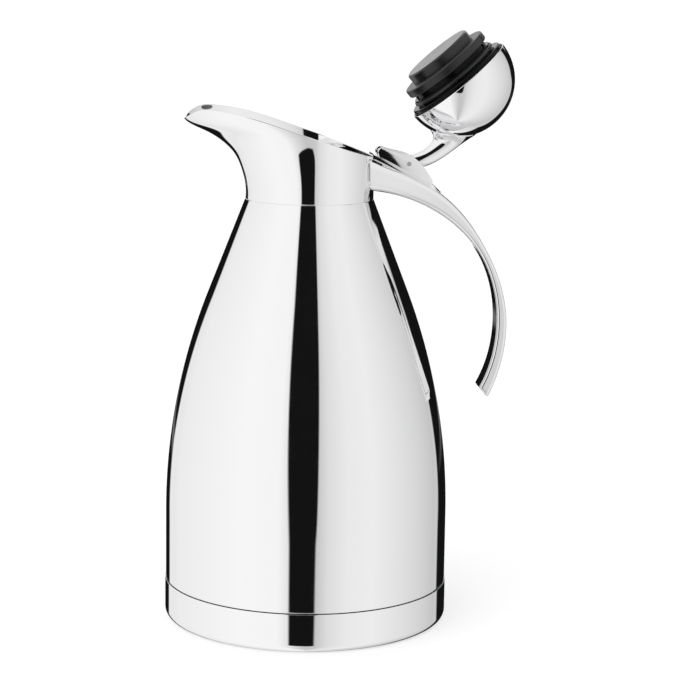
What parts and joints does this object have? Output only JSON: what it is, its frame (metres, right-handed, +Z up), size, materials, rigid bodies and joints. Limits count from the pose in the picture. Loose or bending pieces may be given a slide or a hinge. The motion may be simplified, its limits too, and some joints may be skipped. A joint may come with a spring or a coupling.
{
  "type": "thermal carafe",
  "caption": "Double-walled steel vacuum jug with a spouted collar, a cast handle and a ball lid with a plug that swings back on a hinge pin.",
  "frame": {"origin": "centre of the circle that it stands on, on the table", "axes": "+Z up, the spout towards -X and the handle towards +X, the lid swung open over the handle"},
  "size_m": [0.1813, 0.15, 0.3109],
  "materials": {
    "polished_steel": "mirror-polished stainless steel",
    "cast_steel": "polished cast stainless steel",
    "bracket_steel": "satin-polished pressed steel",
    "screw_steel": "turned stainless steel",
    "drawn_steel": "drawn stainless steel, electropolished inside",
    "getter_metal": "sintered",
    "black_plastic": "glossy black moulded plastic",
    "cap_plastic": "dark grey moulded plastic, fine satin face",
    "seal_rubber": "black silicone rubber",
    "foam": "rigid closed-cell foam"
  },
  "bodies": {
    "carafe": {"base_cup": "polished_steel", "outer_shell": "polished_steel", "vacuum_bottom": "drawn_steel", "evacuation_seal": "drawn_steel", "inner_flask": "drawn_steel", "inner_flask_bottom": "drawn_steel", "getter": "getter_metal", "spout_collar": "polished_steel", "neck_gasket": "seal_rubber", "neck_insert": "black_plastic", "handle": "cast_steel", "handle_screws": "screw_steel", "hinge_bracket": "bracket_steel", "bracket_screws": "screw_steel", "hinge_pin": "screw_steel"},
    "lid": {"lid_arm": "cast_steel", "arm_screws": "screw_steel", "lid_dome": "polished_steel", "dome_stud": "screw_steel", "dome_insulation": "foam", "stopper_body": "black_plastic", "ring_gasket": "seal_rubber", "lip_gasket": "seal_rubber", "stopper_cap": "cap_plastic", "centre_screw": "screw_steel"}
  },
  "joints": [
    {"name": "lid_hinge", "type": "hinge", "parent": "carafe", "child": "lid", "pos_m": [0.0514, 0, 0.2419], "axis": [0, -1, 0], "range_deg": [0, 116]}
  ]
}
